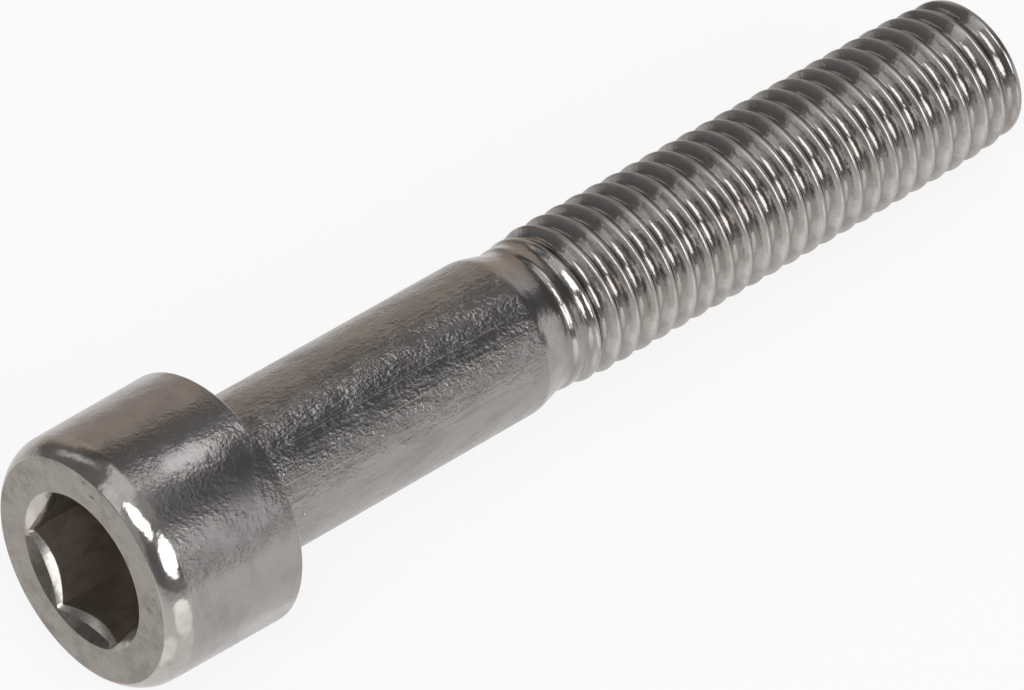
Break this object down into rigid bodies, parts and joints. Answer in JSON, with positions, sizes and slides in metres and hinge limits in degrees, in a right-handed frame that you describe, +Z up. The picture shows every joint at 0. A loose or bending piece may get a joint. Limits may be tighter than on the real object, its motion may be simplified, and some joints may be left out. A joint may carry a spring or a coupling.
{
  "type": "hex socket cap screw",
  "caption": "Steel hex socket cap screw with a cylindrical head, a plain shank and a partly threaded end, lying on its side.",
  "frame": {"origin": "on the ground, under the middle of the box round the screw as it lies", "axes": "+X along the ground from the head towards the tip, +Z up; the screw's own axis dips 3.05 degrees towards the tip, because the head is wider than the thread"},
  "size_m": [0.0702, 0.0156, 0.016],
  "materials": {
    "steel": "stainless steel: satin head and shank with fine drawing lines, glossy rolled thread"
  },
  "bodies": {
    "root": {"screw": "steel"}
  },
  "joints": []
}
